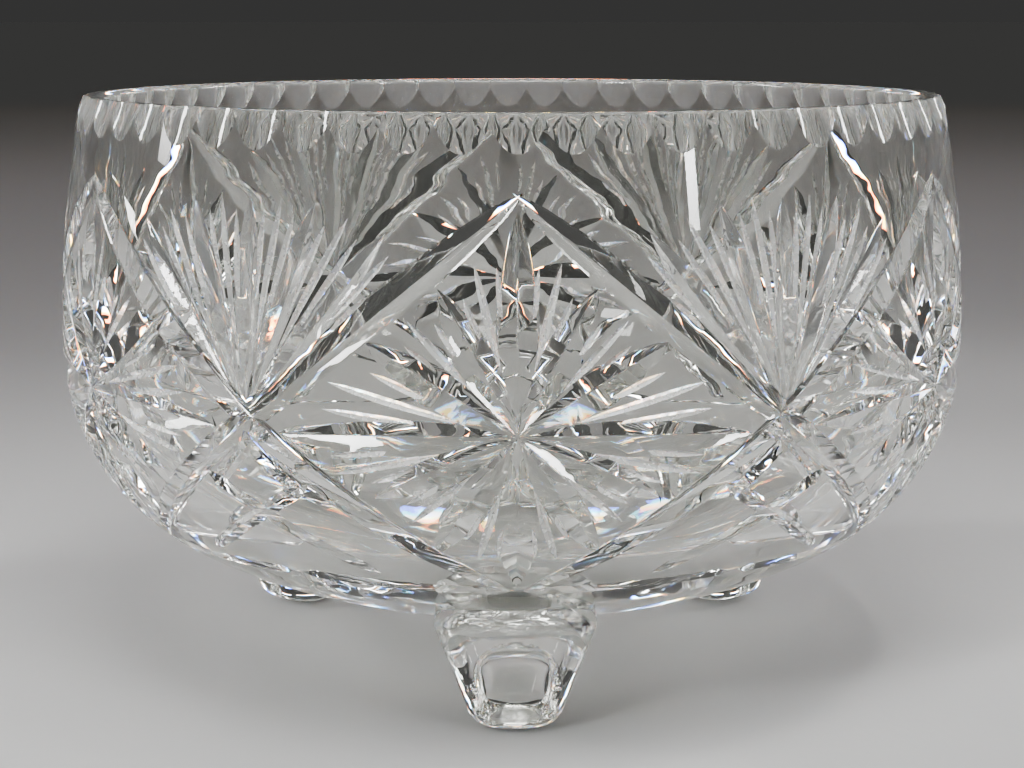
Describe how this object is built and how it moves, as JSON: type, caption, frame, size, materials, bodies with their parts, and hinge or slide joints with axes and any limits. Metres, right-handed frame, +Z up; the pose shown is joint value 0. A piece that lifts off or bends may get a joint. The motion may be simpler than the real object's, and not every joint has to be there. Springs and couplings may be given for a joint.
{
  "type": "punch bowl",
  "caption": "Round clear crystal bowl with a fluted rim and wheel-cut star-in-diamond walls, standing on short tapered block feet; holds a drink to be ladled out.",
  "frame": {"origin": "on the bowl's axis, level with the feet's flat pads", "axes": "+Z up along the bowl's axis, -Y towards the front foot, +X to the right as seen from the front"},
  "size_m": [0.2548, 0.2548, 0.16],
  "materials": {
    "crystal": "polished clear lead crystal"
  },
  "bodies": {
    "root": {"bowl_body": "crystal", "foot_front": "crystal", "foot_rear_left": "crystal", "foot_rear_right": "crystal"}
  },
  "joints": []
}
